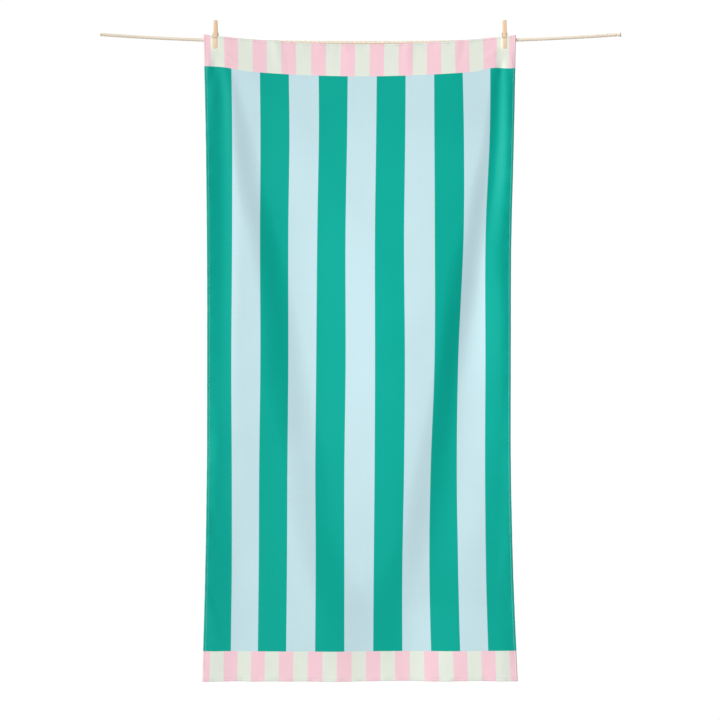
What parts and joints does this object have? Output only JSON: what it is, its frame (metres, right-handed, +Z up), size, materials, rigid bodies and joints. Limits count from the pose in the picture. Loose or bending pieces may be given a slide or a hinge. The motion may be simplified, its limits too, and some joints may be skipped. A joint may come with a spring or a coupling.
{
  "type": "beach towel pegged on a clothesline",
  "caption": "Striped beach towel hanging from a clothesline by wooden spring pegs near its top corners, with soft folds running down from the pegs.",
  "frame": {"origin": "on the clothesline's centreline, halfway between its two ends, at the low point of its sag", "axes": "+X runs along the clothesline to the viewer's right, +Y runs from the printed face to the back, and +Z is up"},
  "size_m": [1.2904, 0.0306, 1.6378],
  "materials": {
    "printed_cloth": "printed microfibre cloth, broad green and pale blue stripes with pink and mint bands at the ends, short soft nap",
    "hem_cloth": "the same printed cloth, turned and stitched down",
    "line_fibre": "twisted beige cotton cord",
    "peg_wood": "plain pale wood, sanded",
    "spring_steel": "drawn steel wire"
  },
  "bodies": {
    "root": {"towel_cloth": "printed_cloth", "hem_left": "hem_cloth", "hem_right": "hem_cloth", "hem_top": "hem_cloth", "hem_bottom": "hem_cloth", "clothesline": "line_fibre", "peg_left_front_leg": "peg_wood", "peg_left_back_leg": "peg_wood", "peg_left_spring": "spring_steel", "peg_right_front_leg": "peg_wood", "peg_right_back_leg": "peg_wood", "peg_right_spring": "spring_steel"}
  },
  "joints": []
}
